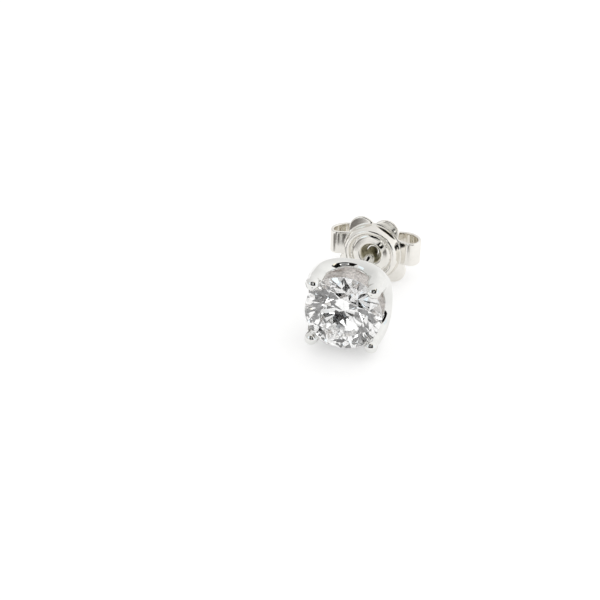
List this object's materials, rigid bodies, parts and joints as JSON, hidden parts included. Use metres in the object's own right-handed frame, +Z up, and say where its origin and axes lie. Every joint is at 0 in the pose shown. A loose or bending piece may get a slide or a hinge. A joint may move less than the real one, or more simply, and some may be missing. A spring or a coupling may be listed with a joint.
{
  "type": "stud earring",
  "caption": "Four-prong round diamond stud in an arched rounded-square head, on a straight post with a butterfly ear nut.",
  "frame": {"origin": "middle of the bounding box on the surface that the stud lies on", "axes": "+Z up, +Y back along the post towards the ear nut, stone facing -Y, post sloping down backwards by 4.6 degrees"},
  "size_m": [0.0078, 0.015, 0.0065],
  "materials": {
    "diamond": "cut and polished diamond",
    "white_gold": "mirror polished white gold",
    "white_gold_nut": "polished white gold, slightly duller"
  },
  "bodies": {
    "stud": {"setting": "white_gold", "stone": "diamond"},
    "ear_nut": {"ear_nut": "white_gold_nut"}
  },
  "joints": [
    {"name": "nut_slide", "type": "slide", "parent": "stud", "child": "ear_nut", "axis": [0, 0.9968, -0.0801], "range_m": [-0.00655, 0.0021]}
  ]
}
